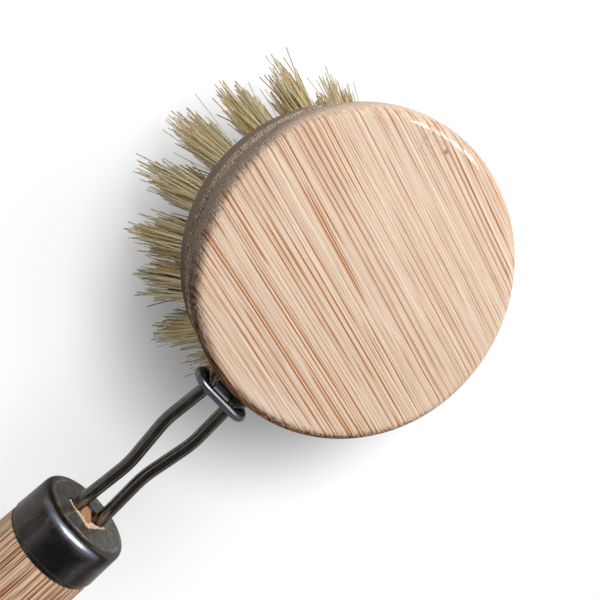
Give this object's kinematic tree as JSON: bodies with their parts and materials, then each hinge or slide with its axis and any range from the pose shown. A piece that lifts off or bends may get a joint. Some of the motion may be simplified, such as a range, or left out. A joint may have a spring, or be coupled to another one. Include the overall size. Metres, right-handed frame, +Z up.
{
  "type": "dish brush",
  "caption": "Dish brush: round wooden head of plant-fibre tufts held in a sprung wire loop on a straight wooden handle, with a sliding locking ring.",
  "frame": {"origin": "on the ground, in the middle of the standing brush's box", "axes": "+X from the handle's butt towards the head, +Z up, Y across the brush"},
  "size_m": [0.2426, 0.0694, 0.0463],
  "materials": {
    "handle_bamboo": "satin, streaky grain along the handle",
    "head_bamboo": "smooth, streaky grain across the face",
    "pale_wood": "raw, torn end",
    "gunmetal": "dark, polished, finely scratched",
    "dark_wire": "dark, polished, drawn",
    "ring_steel": "polished",
    "anchor_steel": "plain",
    "plant_fibre": "matt, pale yellow stiff fibre"
  },
  "bodies": {
    "root": {"handle": "handle_bamboo", "ferrule": "gunmetal", "tail_wedge": "pale_wood", "spring_wire": "dark_wire"},
    "ring": {"locking_ring": "ring_steel"},
    "head": {"head_block": "head_bamboo", "tuft_anchors": "anchor_steel", "tuft_centre": "plant_fibre", "tuft_outer_01": "plant_fibre", "tuft_outer_02": "plant_fibre", "tuft_outer_03": "plant_fibre", "tuft_outer_04": "plant_fibre", "tuft_outer_05": "plant_fibre", "tuft_outer_06": "plant_fibre", "tuft_outer_07": "plant_fibre", "tuft_outer_08": "plant_fibre", "tuft_outer_09": "plant_fibre", "tuft_outer_10": "plant_fibre", "tuft_outer_11": "plant_fibre", "tuft_outer_12": "plant_fibre", "tuft_outer_13": "plant_fibre", "tuft_outer_14": "plant_fibre", "tuft_outer_15": "plant_fibre", "tuft_outer_16": "plant_fibre", "tuft_outer_17": "plant_fibre", "tuft_outer_18": "plant_fibre", "tuft_outer_19": "plant_fibre", "tuft_middle_01": "plant_fibre", "tuft_middle_02": "plant_fibre", "tuft_middle_03": "plant_fibre", "tuft_middle_04": "plant_fibre", "tuft_middle_05": "plant_fibre", "tuft_middle_06": "plant_fibre", "tuft_middle_07": "plant_fibre", "tuft_middle_08": "plant_fibre", "tuft_middle_09": "plant_fibre", "tuft_middle_10": "plant_fibre", "tuft_middle_11": "plant_fibre", "tuft_middle_12": "plant_fibre", "tuft_middle_13": "plant_fibre", "tuft_inner_01": "plant_fibre", "tuft_inner_02": "plant_fibre", "tuft_inner_03": "plant_fibre", "tuft_inner_04": "plant_fibre", "tuft_inner_05": "plant_fibre", "tuft_inner_06": "plant_fibre"}
  },
  "joints": [
    {"name": "ring_slide", "type": "slide", "parent": "root", "child": "ring", "axis": [-0.9892, 0, -0.1469], "range_m": [0, 0.026]},
    {"name": "head_spin", "type": "hinge", "parent": "root", "child": "head", "pos_m": [0.08307, 0, 0.03736], "axis": [-0.1469, 0, 0.9892], "continuous": true}
  ]
}
